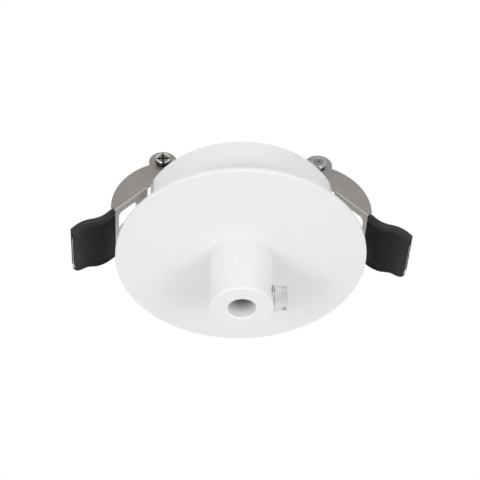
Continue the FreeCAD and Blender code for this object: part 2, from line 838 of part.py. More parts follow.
def pivot_nut(side, turned):
    """Domed nut on the screw's end, with a small dimple in its face."""
    body = new_body("pivot_nut_" + side)
    hole_end = "-(shank_out + thread_gap)"
    hole = "pivot_dia / 2 + thread_gap"
    half = new_sketch(body, "YZ_Plane")
    draw_outline(half, [
        ("-head_out", "0"),
        (hole_end, "0"),
        (hole_end, hole),
        ("-head_in", hole),
        ("-head_in", "pivot_head_dia / 2"),
        ("-head_out", "pivot_head_dia / 2"),
    ])
    revolve(body, half, "H_Axis")
    dress(body, "Fillet", "pivot_head_edge", lambda edge: head_rim(edge, "-head_out"))
    dimple = new_sketch(body, "XZ_Plane", "head_out")
    draw_circle(dimple, "0", "0", "dimple_dia / 2")
    pocket(body, dimple, "dimple_depth")
    hang(body)
    finish(body, "pivot_nut_" + side, turned)


def pivot_bush(side, turned):
    """Spacer tube on the pivot between the bracket's ears."""
    length = "(bracket_span - 2 * bracket_sheet - 2 * thread_gap)"
    where = {"x": "pivot_reach", "y": "-%s / 2" % length, "z": "pivot_rise", "tilt": ALONG_Y}
    bush = cut(cylinder("bush_radius", length, **where),
               cylinder("pivot_dia / 2 + bush_gap", length, **where))
    finish(bush, "pivot_bush_" + side, turned)


def torsion_spring(side, turned):
    """Close coil round the bush: one leg lies on the web, the other presses on the cup's wall."""
    coil = number("coil_radius")
    wire = number("wire_dia / 2")
    slope = math.radians(number("web_slope"))
    pivot = Vector(number("pivot_reach"), 0, number("pivot_rise"))
    rim = Vector(number("flat_reach - cup_wall - leg_gap") - wire, 0, number("cup_rise"))

    # Seen along the hinge, both legs are tangents of the coil
    to_pivot = pivot - rim
    heading = math.atan2(to_pivot.z, to_pivot.x) - math.asin(coil / to_pivot.Length)
    up = Vector(math.cos(heading), 0, math.sin(heading))
    cup_leg = math.sqrt(to_pivot.Length ** 2 - coil ** 2)
    down_web = Vector(math.cos(slope), 0, -math.sin(slope))
    to_web = Vector(-math.sin(slope), 0, -math.cos(slope))
    begin = heading - math.pi / 2
    sweep = (math.atan2(to_web.z, to_web.x) - begin) % (2 * math.pi)
    sweep += 2 * math.pi * number("coil_turns")
    pitch = number("coil_pitch")
    width = pitch * sweep / (2 * math.pi)

    helix = Part.makeHelix(pitch, width, coil)
    section = Part.Wire(Part.makeCircle(wire, Vector(coil, 0, 0), Vector(0, 1, 0)))
    turns = Part.Wire(helix.Edges).makePipeShell([section], True, True)
    turns.rotate(Vector(), Vector(0, 0, 1), math.degrees(begin))
    turns.rotate(Vector(), Vector(1, 0, 0), 90)
    half = Vector(0, width / 2, 0)
    turns.translate(pivot + half)
    tail = number("cup_leg_tail")
    cup_end = rim - up * tail + half
    legs = [
        Part.makeCylinder(wire, cup_leg + tail, cup_end, up),
        Part.makeCylinder(wire, number("web_start + web_leg_reach"), pivot + to_web * coil - half,
                          down_web),
    ]
    spring = doc.addObject("Part::Feature", "torsion_spring_" + side)
    spring.Shape = turns.fuse(legs)
    finish(spring, "torsion_spring_" + side, turned)


# Terminal block and earth screw

POLES = ("-pole_pitch", "0", "pole_pitch")
ENDS = ("block_place - screw_spread / 2", "block_place + screw_spread / 2")


def terminal_block():
    """Three-pole block: a turret over each screw, a way through for each brass insert."""
    body = new_body("terminal_block")
    base = new_sketch(body, "XY_Plane", "pillar_rise")
    draw_box(base, "-block_length / 2", "block_place - block_depth / 2",
             "block_length / 2", "block_place + block_depth / 2")
    pad(body, base, "block_rise")
    dress(body, "Fillet", "block_edge", lambda edge: near(edge.Length, number("block_rise")))
    turrets = new_sketch(body, "XY_Plane", "block_top")
    wells = new_sketch(body, "XY_Plane", "block_top + turret_rise")
    for pole in POLES:
        for end in ENDS:
            draw_circle(turrets, pole, end, "turret_dia / 2")
            draw_circle(wells, pole, end, "terminal_screw_dia / 2 + insert_gap")
    pad(body, turrets, "turret_rise")
    pocket(body, wells, "block_rise + turret_rise - insert_height")
    ways = new_sketch(body, "XZ_Plane")
    for pole in POLES:
        draw_circle(ways, pole, "insert_axis", "insert_dia / 2 + insert_gap")
    pocket(body, ways, both=True)
    fixings = new_sketch(body, "XY_Plane", "block_top")
    for place in fixing_places():
        draw_circle(fixings, place, "block_place", "fixing_shank_dia / 2 + insert_gap")
    pocket(body, fixings, "block_rise")
    finish(body, "terminal_block")


def terminal_inserts():
    """A brass tube for each pole, with a threaded hole for each of its screws."""
    made = []
    for pole in POLES:
        where = {"x": pole, "y": "block_place - block_depth / 2", "z": "insert_axis", "tilt": ALONG_Y}
        tube = cut(cylinder("insert_dia / 2", "block_depth", **where),
                   cylinder("insert_bore / 2", "block_depth", **where))
        holes = [cylinder("terminal_screw_dia / 2 + insert_gap", "insert_dia", x=pole, y=end,
                          z="insert_axis") for end in ENDS]
        made.append(cut(tube, join(*holes)))
    finish(group(made), "terminal_inserts")


def terminal_screws():
    """Slotted screws, two a pole, backed off until they clear the wire's way."""
    tip = "insert_axis + insert_bore / 2"
    slot_floor = "%s + terminal_screw_length - 2 * terminal_screw_slot" % tip
    made = []
    for pole in POLES:
        for end in ENDS:
            screw = cylinder("terminal_screw_dia / 2", "terminal_screw_length", x=pole, y=end, z=tip)
            slot = block("terminal_screw_dia", "terminal_screw_slot", "terminal_screw_length",
                         x="%s - terminal_screw_dia / 2" % pole,
                         y="%s - terminal_screw_slot / 2" % end, z=slot_floor)
            made.append(cut(screw, slot))
    finish(group(made), "terminal_screws")


def terminal_fixing_screws():
    """The block's two fixing screws, driven into the pillars."""
    made = []
    for place in fixing_places():
        head = cylinder("fixing_head_dia / 2", "fixing_head", x=place, y="block_place",
                        z="block_top")
        shank = cylinder("fixing_shank_dia / 2", "block_rise + fixing_bite", x=place,
                         y="block_place", z="pillar_rise - fixing_bite")
        made.append(join(head, shank))
    finish(group(made), "terminal_fixing_screws")


def earth_screw():
    """Earth screw with its washer on the cup's own pillar."""
    place = "-earth_place"
    washer_top = "earth_pillar_rise + earth_washer_thick"
    washer = cut(cylinder("earth_pillar_dia / 2", "earth_washer_thick", y=place, z="earth_pillar_rise"),
                 cylinder("earth_shank_dia / 2 + thread_gap", "earth_washer_thick", y=place,
                          z="earth_pillar_rise"))
    finish(washer, "earth_washer")
    screw = join(cylinder("earth_head_dia / 2", "earth_head", y=place, z=washer_top),
                 cylinder("earth_shank_dia / 2", washer_top, y=place))
    finish(screw, "earth_screw")


def build():
    """Make every piece."""
    rose_body()
    outlet_boss()
    boss_fixings()
    cord_grip_screw()
    for side, turned in SIDES:
        spring_clip(side, turned)
        clip_sleeve(side, turned)
        hinge_bracket(side, turned)
        bracket_rivets(side, turned)
        pivot_screw(side, turned)
        pivot_nut(side, turned)
        pivot_bush(side, turned)
        torsion_spring(side, turned)
    terminal_block()
    terminal_inserts()
    terminal_screws()
    terminal_fixing_screws()
    earth_screw()


def export():
    """Check every piece, then write one file for each node."""
    doc.recompute()
    for part in doc.Objects:
        if "Invalid" in part.State or "Error" in part.State:
            raise RuntimeError("%s did not build: %s" % (part.Label, part.State))
    for name, part in nodes.items():
        if part.Shape.isNull() or not part.Shape.isValid():
            raise RuntimeError("%s has no valid shape" % name)
    os.makedirs("parts", exist_ok=True)
    for name, part in nodes.items():
        part.Shape.exportStep("parts/%s.step" % name)
        box = part.Shape.BoundBox
        print("%-24s %d solid(s)  x %6.1f %6.1f  y %6.1f %6.1f  z %6.1f %6.1f" % (
            name, len(part.Shape.Solids), box.XMin, box.XMax, box.YMin, box.YMax,
            box.ZMin, box.ZMax))


build()
export()
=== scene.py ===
import functools
import json
import math

import bmesh
import bpy
from mathutils import Matrix, Vector


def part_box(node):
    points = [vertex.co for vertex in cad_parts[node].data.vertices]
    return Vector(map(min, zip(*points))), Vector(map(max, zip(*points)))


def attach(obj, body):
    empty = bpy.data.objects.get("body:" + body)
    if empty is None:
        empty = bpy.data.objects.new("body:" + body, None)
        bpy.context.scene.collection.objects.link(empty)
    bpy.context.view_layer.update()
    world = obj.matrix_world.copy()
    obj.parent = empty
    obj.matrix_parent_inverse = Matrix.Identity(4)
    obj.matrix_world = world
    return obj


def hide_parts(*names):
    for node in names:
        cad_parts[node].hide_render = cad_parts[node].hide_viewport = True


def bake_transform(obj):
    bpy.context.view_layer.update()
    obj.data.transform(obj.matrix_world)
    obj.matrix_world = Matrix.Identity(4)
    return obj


# Recessed ceiling rose with two sprung clips, seen from below. Lengths are metres. The frame's
# z = 0 is the flange's upper face, X runs through both clips and the cord's axis is Z.

MM = 0.001
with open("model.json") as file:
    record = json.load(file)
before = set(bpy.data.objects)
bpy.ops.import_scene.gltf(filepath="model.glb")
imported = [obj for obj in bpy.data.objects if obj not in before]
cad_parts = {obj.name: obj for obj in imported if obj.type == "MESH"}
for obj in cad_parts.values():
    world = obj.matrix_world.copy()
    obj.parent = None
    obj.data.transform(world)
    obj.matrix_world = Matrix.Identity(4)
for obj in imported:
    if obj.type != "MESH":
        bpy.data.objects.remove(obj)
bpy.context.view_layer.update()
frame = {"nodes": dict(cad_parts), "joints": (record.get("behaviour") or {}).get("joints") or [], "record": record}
nodes = frame["nodes"]
scene = bpy.context.scene


# Places taken from the frame


def low(node):
    """Lowest corner of a node."""
    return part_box(node)[0]


def high(node):
    """Highest corner of a node."""
    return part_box(node)[1]


BOSS_END = low("outlet_boss").z
HINGE = next(joint for joint in frame["joints"] if joint["name"] == "clip_right_hinge")
PIVOT = Vector(HINGE["pos_m"])
SIDES = (("right", 1), ("left", -1))


# Meshes

EDGE_ANGLE = 32
SOFT_ANGLE = 40
FLAT_ANGLE = 1.0
EDGE_SEGMENTS = 2
WELD = 1e-7
CAD_WELD = 1e-6


def add_object(name, mesh):
    """A new object that holds the mesh."""
    piece = bpy.data.objects.new(name, mesh)
    scene.collection.objects.link(piece)
    return piece


def from_bmesh(name, work):
    """A new object from a finished bmesh."""
    mesh = bpy.data.meshes.new(name)
    work.to_mesh(mesh)
    work.free()
    return add_object(name, mesh)


def apply_modifiers(piece):
    """Keep what the modifiers make as the piece's own mesh."""
    bpy.context.view_layer.update()
    depsgraph = bpy.context.evaluated_depsgraph_get()
    made = bpy.data.meshes.new_from_object(piece.evaluated_get(depsgraph))
    piece.modifiers.clear()
    piece.data = made


def shade(piece, degrees):
    """Smooth shading with sharp edges kept."""
    for face in piece.data.polygons:
        face.use_smooth = True
    piece.data.set_sharp_from_angle(angle=math.radians(degrees))


def soften_edges(piece, width):
    """Break every sharp edge by a small radius and weight the normals to the flat faces."""
    bevel = piece.modifiers.new("edges", "BEVEL")
    bevel.width = width
    bevel.segments = EDGE_SEGMENTS
    bevel.limit_method = "ANGLE"
    bevel.angle_limit = math.radians(EDGE_ANGLE)
    apply_modifiers(piece)
    shade(piece, SOFT_ANGLE)
    weighted = piece.modifiers.new("normals", "WEIGHTED_NORMAL")
    weighted.keep_sharp = True
    apply_modifiers(piece)


def refined(node, edge):
    """A piece with the node's own form and softly broken edges, in the node's place."""
    work = bmesh.new()
    work.from_mesh(nodes[node].data)
    bmesh.ops.remove_doubles(work, verts=work.verts, dist=CAD_WELD)
    bmesh.ops.dissolve_limit(work, angle_limit=math.radians(FLAT_ANGLE), verts=work.verts,
                             edges=work.edges)
    piece = from_bmesh(node + "_finish", work)
    soften_edges(piece, edge)
    return piece


def fractions(steps):
    """Shares from 0 to 1, both ends included."""
    return [step / steps for step in range(steps + 1)]


def arc(across, up, radius, first, last, steps):
    """Points of an arc in a profile's plane; the angles are in degrees."""
    turns = [math.radians(first + (last - first) * share) for share in fractions(steps)]
    return [(across + radius * math.cos(turn), up + radius * math.sin(turn)) for turn in turns]


def round_turns(steps):
    """Angles of a full circle."""
    return [2 * math.pi * i / steps for i in range(steps)]


def lathe(profile, steps):
    """Rings of points round Z from a profile of radius and height."""
    return [[Vector((radius * math.cos(turn), radius * math.sin(turn), height))
             for turn in round_turns(steps)] for radius, height in profile]


def uneven_ring(radii, levels):
    """A ring round Z whose radius and level change from point to point."""
    return [Vector((radius * math.cos(turn), radius * math.sin(turn), level))
            for radius, level, turn in zip(radii, levels, round_turns(len(radii)))]


def add_skin(work, rings, loop=False):
    """Faces through rings of points, with the last ring joined to the first if asked."""
    rows = [[work.verts.new(point) for point in ring] for ring in rings]
    faces = []
    for row, above in zip(rows, rows[1:] + rows[:1] if loop else rows[1:]):
        for i in range(len(row)):
            faces.append(work.faces.new((row[i - 1], row[i], above[i], above[i - 1])))
    bmesh.ops.recalc_face_normals(work, faces=faces)


def skin(name, shells, place=None, loop=False, sharp=EDGE_ANGLE):
    """A smooth-shaded piece of one or more shells, each given by its rings of points."""
    work = bmesh.new()
    for rings in shells:
        add_skin(work, rings, loop)
    bmesh.ops.remove_doubles(work, verts=work.verts, dist=WELD)
    if place:
        bmesh.ops.transform(work, matrix=place, verts=work.verts)
    bmesh.ops.recalc_face_normals(work, faces=work.faces)
    piece = from_bmesh(name, work)
    shade(piece, sharp)
    return piece


def smooth_step(value, first, last):
    """Rises from 0 at the first value to 1 at the last."""
    share = min(max((value - first) / (last - first), 0.0), 1.0)
    return share * share * (3 - 2 * share)


# Material helpers

NOISE_LOW = 0.3
NOISE_HIGH = 0.7


def new_material(name, color, roughness, metallic=0.0):
    """A material with its shader; the plain numbers sit on the shader's own sockets."""
    material = bpy.data.materials.new(name)
    material.use_nodes = True
    shader = material.node_tree.nodes["Principled BSDF"]
    shader.inputs["Base Color"].default_value = (*color, 1)
    shader.inputs["Roughness"].default_value = roughness
    shader.inputs["Metallic"].default_value = metallic
    return material, shader


def add_node(material, kind, **inputs):
    """A node with its inputs set; an input that is a socket is linked."""
    node = material.node_tree.nodes.new(kind)
    for key, value in inputs.items():
        target = node.inputs[int(key[1:]) if key[1:].isdigit() else key.replace("_", " ")]
        if isinstance(value, bpy.types.NodeSocket):
            material.node_tree.links.new(value, target)
        else:
            target.default_value = value
    return node


def object_place(material, stretch=(1, 1, 1)):
    """Object coordinates, stretched."""
    place = add_node(material, "ShaderNodeTexCoord").outputs["Object"]
    mapping = add_node(material, "ShaderNodeMapping", Vector=place, Scale=stretch)
    return mapping.outputs["Vector"]


def axes_of(material, place):
    """The three coordinates of a place."""
    return add_node(material, "ShaderNodeSeparateXYZ", Vector=place).outputs


def noise(material, place, scale, detail=3.0, roughness=0.5):
    """A noise value, mostly between NOISE_LOW and NOISE_HIGH."""
    node = add_node(material, "ShaderNodeTexNoise", Vector=place, Scale=scale, Detail=detail,
                    Roughness=roughness)
    return node.outputs["Fac"]


def ramp(material, value, low_value, high_value, first, last):
    """Map a value's range to another range."""
    node = add_node(material, "ShaderNodeMapRange", _0=value, _1=low_value, _2=high_value,
                    _3=first, _4=last)
    return node.outputs["Result"]


def spread(material, value, first, last):
    """Map a noise value's range to another range."""
    return ramp(material, value, NOISE_LOW, NOISE_HIGH, first, last)


def fade(material, value, first, last):
    """Runs from 0 at the first value to 1 at the last."""
    return ramp(material, value, first, last, 0.0, 1.0)


def math_node(material, operation, first, second=0.0):
    """A sum, product or other joining of two values."""
    node = add_node(material, "ShaderNodeMath", _0=first, _1=second)
    node.operation = operation
    return node.outputs["Value"]


def color_mix(material, value, first, second):
    """Blend two colours by a value; either colour may be a socket."""
    node = material.node_tree.nodes.new("ShaderNodeMix")
    node.data_type = "RGBA"
    material.node_tree.links.new(value, node.inputs["Factor"])
    ends = [socket for socket in node.inputs if socket.type == "RGBA"]
    for target, color in zip(ends, (first, second)):
        if isinstance(color, bpy.types.NodeSocket):
            material.node_tree.links.new(color, target)
        else:
            target.default_value = (*color, 1)
    return next(socket for socket in node.outputs if socket.type == "RGBA")


def set_color(material, shader, tone):
    """Let a socket set the base colour."""
    material.node_tree.links.new(tone, shader.inputs["Base Color"])


def set_roughness(material, shader, value):
    """Let a socket set the roughness."""
    material.node_tree.links.new(value, shader.inputs["Roughness"])


def add_bump(material, shader, value, distance):
    """Raise the surface by a value."""
    bump = add_node(material, "ShaderNodeBump", Height=value, Distance=distance, Strength=1.0)
    material.node_tree.links.new(bump.outputs["Normal"], shader.inputs["Normal"])


def scaled(color, share):
    """A colour made darker or lighter."""
    return tuple(share * part for part in color)


def grey(level):
    """A colour without hue."""
    return (level, level, level)


# Powder coat

COAT_WHITE = grey(0.84)
COAT_ROUGHNESS = 0.45
BORE = 5.0 * MM
# Radii over which the bore's wall takes over, and heights over which painted shade deepens in it
BORE_FADE = (BORE + 0.5 * MM, BORE + 0.25 * MM)
BORE_SHADE_DEPTHS = (2.5 * MM, 9.5 * MM)


def add_peel(material, shader, place):
    """Faint orange peel of a powder coat."""
    set_roughness(material, shader, spread(material, noise(material, place, scale=700), 0.4, 0.5))
    add_bump(material, shader, noise(material, place, scale=900, detail=2.0), distance=0.012 * MM)


def powder_coat():
    """Satin white powder coat."""
    material, shader = new_material("white_powder_coat", COAT_WHITE, COAT_ROUGHNESS)
    place = object_place(material)
    clouds = noise(material, place, scale=60)
    set_color(material, shader, color_mix(material, clouds, grey(0.835), grey(0.85)))
    add_peel(material, shader, place)
    return material


def boss_coat():
    """The same coat, with painted shade inside the cord bore that grows darker with depth."""
    material, shader = new_material("boss_powder_coat", COAT_WHITE, COAT_ROUGHNESS)
    place = object_place(material)
    axes = axes_of(material, place)
    squares = [math_node(material, "MULTIPLY", axes[axis], axes[axis]) for axis in ("X", "Y")]
    radius = math_node(material, "SQRT", math_node(material, "ADD", *squares))
    inside = fade(material, radius, *BORE_FADE)
    # Painted shade: the bore's wall darkens from the mouth inward.
    deep = fade(material, axes["Z"], *(BOSS_END + depth for depth in BORE_SHADE_DEPTHS))
    mottle = spread(material, noise(material, place, scale=500), 0.88, 1.0)
    wall = color_mix(material, math_node(material, "MULTIPLY", deep, mottle), grey(0.95),
                     (0.13, 0.129, 0.127))
    set_color(material, shader, color_mix(material, inside, COAT_WHITE, wall))
    add_peel(material, shader, place)
    return material


# Metals

# Scale of the grain along X, Y and Z for sheets rolled down the clip's slope or upward
GRAINS = {"slope": (40, 900, 40), "up": (900, 900, 60)}
# Distances from the XZ plane over which the web's painted highlight takes over at the fold
FOLD_HIGHLIGHT_FADE = (11.66 * MM, 11.4 * MM)
GRAIN_NOISE = {"scale": 3.0, "detail": 3.0, "roughness": 0.6}
MARK_NOISE = {"scale": 1500, "detail": 3.0, "roughness": 0.6}
MARK_DEPTH = 0.004 * MM
PIVOT_ROUGHNESS = 0.2


def rolled_steel(name, color, roughness, grain, web_highlight=None):
    """Bare rolled sheet: fine lines along one direction and soft clouds in its tone. A painted
    highlight, a lighter tone, shows from the fold inward."""
    material, shader = new_material(name, color, roughness, metallic=1.0)
    place = object_place(material)
    clouds = noise(material, place, scale=90, detail=2.0)
    tone = color_mix(material, clouds, scaled(color, 0.93), scaled(color, 1.06))
    if web_highlight:
        # Painted highlight: the web and its fold get a lighter colour.
        reach = math_node(material, "ABSOLUTE", axes_of(material, place)["Y"])
        tone = color_mix(material, fade(material, reach, *FOLD_HIGHLIGHT_FADE), tone, web_highlight)
    set_color(material, shader, tone)
    lines = noise(material, object_place(material, GRAINS[grain]), **GRAIN_NOISE)
    set_roughness(material, shader, spread(material, lines, roughness - 0.05, roughness + 0.07))
    add_bump(material, shader, lines, distance=0.003 * MM)
    return material


def turned_metal(name, color, roughness):
    """Small turned or cold-formed parts with fine marks."""
    material, shader = new_material(name, color, roughness, metallic=1.0)
    place = object_place(material)
    clouds = noise(material, place, scale=350)
    set_color(material, shader, color_mix(material, clouds, scaled(color, 0.86), color))
    marks = noise(material, place, **MARK_NOISE)
    set_roughness(material, shader, spread(material, marks, roughness - 0.05, roughness + 0.08))
    add_bump(material, shader, marks, MARK_DEPTH)
    return material


def shade_and_highlight_steel(name, shaded_tone, outer_tone, first, last):
    """Painted shade near the part's XZ plane, turning to an outer tone between two distances from it."""
    material, shader = new_material(name, shaded_tone, PIVOT_ROUGHNESS, metallic=1.0)
    place = object_place(material)
    reach = math_node(material, "ABSOLUTE", axes_of(material, place)["Y"])
    mottle = spread(material, noise(material, place, scale=900), -0.05 * MM, 0.05 * MM)
    outer_share = fade(material, math_node(material, "ADD", reach, mottle), first, last)
    set_color(material, shader, color_mix(material, outer_share, shaded_tone, outer_tone))
    marks = noise(material, place, **MARK_NOISE)
    gloss = spread(material, marks, PIVOT_ROUGHNESS - 0.06, PIVOT_ROUGHNESS + 0.06)
    set_roughness(material, shader, gloss)
    add_bump(material, shader, marks, MARK_DEPTH)
    return material


# Plastics and the sleeves' tube

# Y over which the plastic gets lighter, then |X| and Y over which painted light makes the tube paler
PLASTIC_CLEARS = (-4.0 * MM, -1.8 * MM)
TUBE_SHEEN_REACH = (45 * MM, 59 * MM)
TUBE_EDGE_HIGHLIGHT = (-9.3 * MM, -11.6 * MM)


def clear_plastic():
    """Clear moulded plastic, a little darker where it is thickest."""
    material, shader = new_material("clear_moulded_plastic", (0.93, 0.935, 0.935), roughness=0.04)
    shader.inputs["Transmission Weight"].default_value = 0.66
    shader.inputs["IOR"].default_value = 1.49
    place = object_place(material)
    drift = spread(material, noise(material, place, scale=300, detail=2.0), -0.5 * MM, 0.5 * MM)
    across = math_node(material, "ADD", axes_of(material, place)["Y"], drift)
    tone = color_mix(material, fade(material, across, *PLASTIC_CLEARS), (0.7, 0.705, 0.71),
                     (0.96, 0.965, 0.965))
    set_color(material, shader, tone)
    add_bump(material, shader, noise(material, place, scale=500, detail=2.0), distance=0.01 * MM)
    return material


def black_tube():
    """Soft black satin tube with faint lengthways drag marks; painted light pales its tip and near edge."""
    material, shader = new_material("black_soft_tube", (0.007, 0.007, 0.0075), roughness=0.42)
    shader.inputs["Specular IOR Level"].default_value = 0.12
    place = object_place(material)
    axes = axes_of(material, place)
    drift = spread(material, noise(material, place, scale=160), -0.8 * MM, 0.8 * MM)
    reach = math_node(material, "ADD", math_node(material, "ABSOLUTE", axes["X"]), drift)
    edge = math_node(material, "ADD", axes["Y"], drift)
    # Painted light: painted shade inward, painted sheen at the tip, painted highlight along the near edge.
    tone = color_mix(material, fade(material, reach, *TUBE_SHEEN_REACH), (0.003, 0.003, 0.0032),
                     (0.02, 0.0195, 0.0205))
    tone = color_mix(material, fade(material, edge, *TUBE_EDGE_HIGHLIGHT), tone, (0.042, 0.041, 0.042))
    set_color(material, shader, tone)
    satin = noise(material, place, scale=500)
    set_roughness(material, shader, spread(material, satin, 0.36, 0.48))
    drag = noise(material, object_place(material, (60, 900, 60)), **GRAIN_NOISE)
    skin_height = math_node(material, "ADD", noise(material, place, scale=1300),
                            math_node(material, "MULTIPLY", drag, 1.4))
    add_bump(material, shader, skin_height, distance=0.007 * MM)
    return material


def block_nylon():
    """Off-white moulded nylon."""
    material, shader = new_material("moulded_nylon", (0.72, 0.71, 0.67), roughness=0.5)
    shader.inputs["Subsurface Weight"].default_value = 0.1
    shader.inputs["Subsurface Radius"].default_value = (0.002, 0.0018, 0.0015)
    place = object_place(material)
    clouds = noise(material, place, scale=120)
    set_color(material, shader, color_mix(material, clouds, (0.7, 0.69, 0.64), (0.75, 0.74, 0.7)))
    add_bump(material, shader, noise(material, place, scale=1400), distance=0.01 * MM)
    return material


# The finish of each node

# Head: painted shade on side and recess, painted highlight on rim. Nut: painted shade at its foot.
HEAD_STEEL = shade_and_highlight_steel("pivot_head_steel", (0.06, 0.059, 0.058), (0.78, 0.77, 0.75),
                        first=13.38 * MM, last=13.74 * MM)
NUT_STEEL = shade_and_highlight_steel("pivot_nut_steel", (0.03, 0.029, 0.028), (0.44, 0.43, 0.42),
                       first=12.1 * MM, last=12.6 * MM)
SLOT_MATERIALS = {
    "white_metal": powder_coat(),
    "clear_plastic": clear_plastic(),
    # The clip's web colour is a painted highlight.
    "clip_steel": rolled_steel("clip_spring_steel", (0.42, 0.387, 0.367), 0.42, "slope",
                               web_highlight=(0.74, 0.72, 0.695)),
    "bracket_steel": rolled_steel("bracket_zinc_sheet", (0.7, 0.69, 0.67), 0.46, "up"),
    "screw_steel": turned_metal("screw_plated_steel", (0.5, 0.49, 0.47), 0.22),
    "spring_steel": turned_metal("spring_wire_steel", (0.34, 0.33, 0.31), 0.3),
    "black_sleeve": black_tube(),
    "block_plastic": block_nylon(),
    "terminal_brass": turned_metal("turned_brass", (0.68, 0.51, 0.22), 0.26),
}
OWN_MATERIALS = {"outlet_boss": boss_coat()}
for name, _ in SIDES:
    OWN_MATERIALS["pivot_screw_" + name] = HEAD_STEEL
    OWN_MATERIALS["pivot_nut_" + name] = NUT_STEEL
NODE_SLOTS = {part["node"]: part["material_slot"] for part in frame["record"]["subparts"]}
BODY_OF = {node: body for body, members in frame["record"]["behaviour"]["bodies"].items()
           for node in members}


def dress(piece, node, ride=True):
    """Give a piece the finish and ride of the node that it stands for, and hide the node."""
    piece.data.materials.clear()
    piece.data.materials.append(OWN_MATERIALS.get(node, SLOT_MATERIALS[NODE_SLOTS[node]]))
    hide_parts(node)
    if ride:
        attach(piece, BODY_OF[node])


# Camera at the photo's angle

PHOTO_PIXELS = 480
FOCAL_PIXELS = 1625.0
AXIS_PIXEL = (240.93, 259.44)
SENSOR = 36.0
CLIP_START = 0.01
VIEW_AZIMUTH = math.radians(-3.46)
VIEW_ELEVATION = math.radians(41.89)
VIEW_ROLL = math.radians(-1.20)
VIEW_DISTANCE = 582.1 * MM
VIEW_TARGET = Vector((0, 0, low("rose_body").z))


def add_camera():
    """Camera below and in front of the part, aimed at the middle of the flange's underside."""
    away = Vector((math.sin(VIEW_AZIMUTH) * math.cos(VIEW_ELEVATION),
                   -math.cos(VIEW_AZIMUTH) * math.cos(VIEW_ELEVATION),
                   -math.sin(VIEW_ELEVATION)))
    right = (-away).cross(Vector((0, 0, 1))).normalized()
    up = right.cross(-away)
    turned_right = right * math.cos(VIEW_ROLL) + up * math.sin(VIEW_ROLL)
    turned_up = up * math.cos(VIEW_ROLL) - right * math.sin(VIEW_ROLL)
    lens = bpy.data.cameras.new("photo_camera")
    lens.sensor_width = SENSOR
    lens.lens = FOCAL_PIXELS * SENSOR / PHOTO_PIXELS
    lens.shift_x = (PHOTO_PIXELS / 2 - AXIS_PIXEL[0]) / PHOTO_PIXELS
    lens.shift_y = (AXIS_PIXEL[1] - PHOTO_PIXELS / 2) / PHOTO_PIXELS
    lens.clip_start = CLIP_START
    camera = add_object("photo_camera", lens)
    turn = Matrix((turned_right, turned_up, away)).transposed().to_4x4()
    camera.matrix_world = Matrix.Translation(VIEW_TARGET + away * VIEW_DISTANCE) @ turn
    scene.camera = camera


# Studio

FLOOR_DROP = 0.75
ROOM = 6.0
WORLD_LEVEL = 0.92
LAMP_SIZE = 0.35
# Name, place and power of each lamp
LAMPS = (("left_softbox", (-0.56, -0.5, -0.68), 2.6), ("right_softbox", (0.5, -0.5, -0.68), 2.25))
FLAG_HEIGHT = 0.8
# Name, place, size and grey of each card, and the kinds of rays that see it
CARDS = (("left_flag", (-1.1, 0.1, FLAG_HEIGHT), 1.5, 0.05, ("diffuse",)),
         ("right_flag", (1.1, 0.1, FLAG_HEIGHT), 1.7, 0.0, ("diffuse",)),
         ("grey_card", (0, -1.1, 1.0), 1.5, 0.48, ("glossy", "transmission")))


def square(name, size):
    """A flat square that faces up."""
    work = bmesh.new()
    bmesh.ops.create_grid(work, x_segments=1, y_segments=1, size=size / 2)
    return from_bmesh(name, work)


def add_floor():
    """Pale floor of the room under the part."""
    floor = square("room_floor", ROOM)
    floor.location.z = BOSS_END - FLOOR_DROP
    material, shader = new_material("pale_floor", grey(0.9), roughness=0.8)
    clouds = noise(material, object_place(material), scale=3)
    set_color(material, shader, color_mix(material, clouds, grey(0.89), grey(0.91)))
    floor.data.materials.append(material)


def add_world():
    """White surround for the camera, metal and glass, and a softer level for matt surfaces."""
    world = bpy.data.worlds.new("studio")
    scene.world = world
    world.use_nodes = True
    background = world.node_tree.nodes["Background"]
    paths = add_node(world, "ShaderNodeLightPath").outputs
    seen = paths["Is Camera Ray"]
    for other in ("Is Glossy Ray", "Is Transmission Ray"):
        seen = math_node(world, "MAXIMUM", seen, paths[other])
    level = ramp(world, seen, 0.0, 1.0, WORLD_LEVEL, 1.0)
    background.inputs["Color"].default_value = (1, 1, 1, 1)
    world.node_tree.links.new(level, background.inputs["Strength"])


def add_lamp(name, place, power):
    """A square soft lamp aimed at the part."""
    light = bpy.data.lights.new(name, "AREA")
    light.size = LAMP_SIZE
    light.energy = power
    lamp = add_object(name, light)
    lamp.location = place
    lamp.rotation_euler = (-Vector(place)).to_track_quat("-Z", "Y").to_euler()


def add_card(name, place, size, level, seen_by):
    """A grey card that faces the part and is seen only by some kinds of rays."""
    card = square(name, size)
    card.location = place
    card.rotation_euler = (-Vector(place)).to_track_quat("Z", "Y").to_euler()
    material = bpy.data.materials.new(name)
    material.use_nodes = True
    tree = material.node_tree
    tree.nodes.remove(tree.nodes["Principled BSDF"])
    glow = add_node(material, "ShaderNodeEmission", Color=(*grey(level), 1))
    tree.links.new(glow.outputs["Emission"], tree.nodes["Material Output"].inputs["Surface"])
    card.data.materials.append(material)
    card.visible_camera = False
    card.visible_shadow = False
    card.visible_diffuse = "diffuse" in seen_by
    card.visible_glossy = "glossy" in seen_by
    card.visible_transmission = "transmission" in seen_by


# Outlet boss and its nut

CUT_LEVEL = -1.0 * MM
BOSS_EDGE = 0.12 * MM
THREAD_CREST = 7.0 * MM
THREAD_DEPTH = 0.55 * MM
THREAD_PITCH = 1.0 * MM
THREAD_FLANK = 1.25
THREAD_STEPS = 128
THREAD_ROWS = 80
SPIGOT_TOP = high("outlet_boss").z
SPIGOT_LEAD = 0.3 * MM


def thread_radius(turn, level):
    """Radius of the outer thread, with flat crests and roots, at an angle and a level."""
    phase = (level / THREAD_PITCH - turn / (2 * math.pi)) % 1.0
    groove = THREAD_FLANK * (1 - abs(2 * phase - 1)) - (THREAD_FLANK - 1) / 2
    return THREAD_CREST - THREAD_DEPTH * min(1.0, max(0.0, groove))


